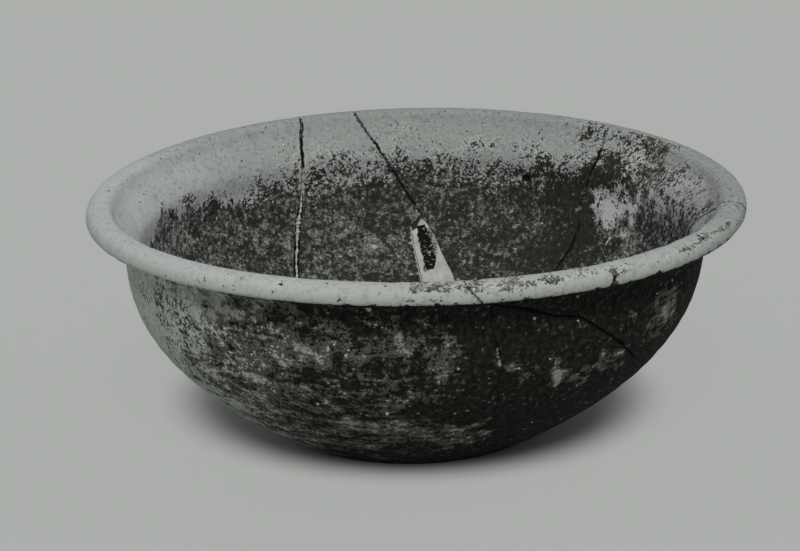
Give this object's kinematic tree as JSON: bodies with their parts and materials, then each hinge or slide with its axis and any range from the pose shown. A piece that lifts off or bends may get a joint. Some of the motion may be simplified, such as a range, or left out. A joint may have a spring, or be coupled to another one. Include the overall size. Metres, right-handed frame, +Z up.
{
  "type": "pottery bowl",
  "caption": "Wheel-turned pottery bowl with a rolled everted rim and a small flat base, mended from sherds with plaster in one gap.",
  "frame": {"origin": "centre of the flat base, on the surface that the bowl stands on", "axes": "+Z up through the open mouth; -Y towards the side that the picture shows, where the long break runs down to the right (+X)"},
  "size_m": [0.25, 0.25, 0.0955],
  "materials": {
    "fired_clay": "unglazed fired clay, smoke-darkened, with a pale chalky deposit and fine pale grit",
    "dark_fired_clay": "unglazed fired clay, almost black",
    "plaster": "dry white plaster, matte"
  },
  "bodies": {
    "root": {"base_sherd": "fired_clay", "front_left_sherd": "fired_clay", "front_rim_sherd": "fired_clay", "front_low_sherd": "fired_clay", "front_right_sherd": "fired_clay", "back_right_sherd": "fired_clay", "back_sherd": "fired_clay", "back_left_sherd": "fired_clay", "sliver_sherd": "dark_fired_clay", "plaster_fill": "plaster", "seam_bead": "plaster"}
  },
  "joints": []
}
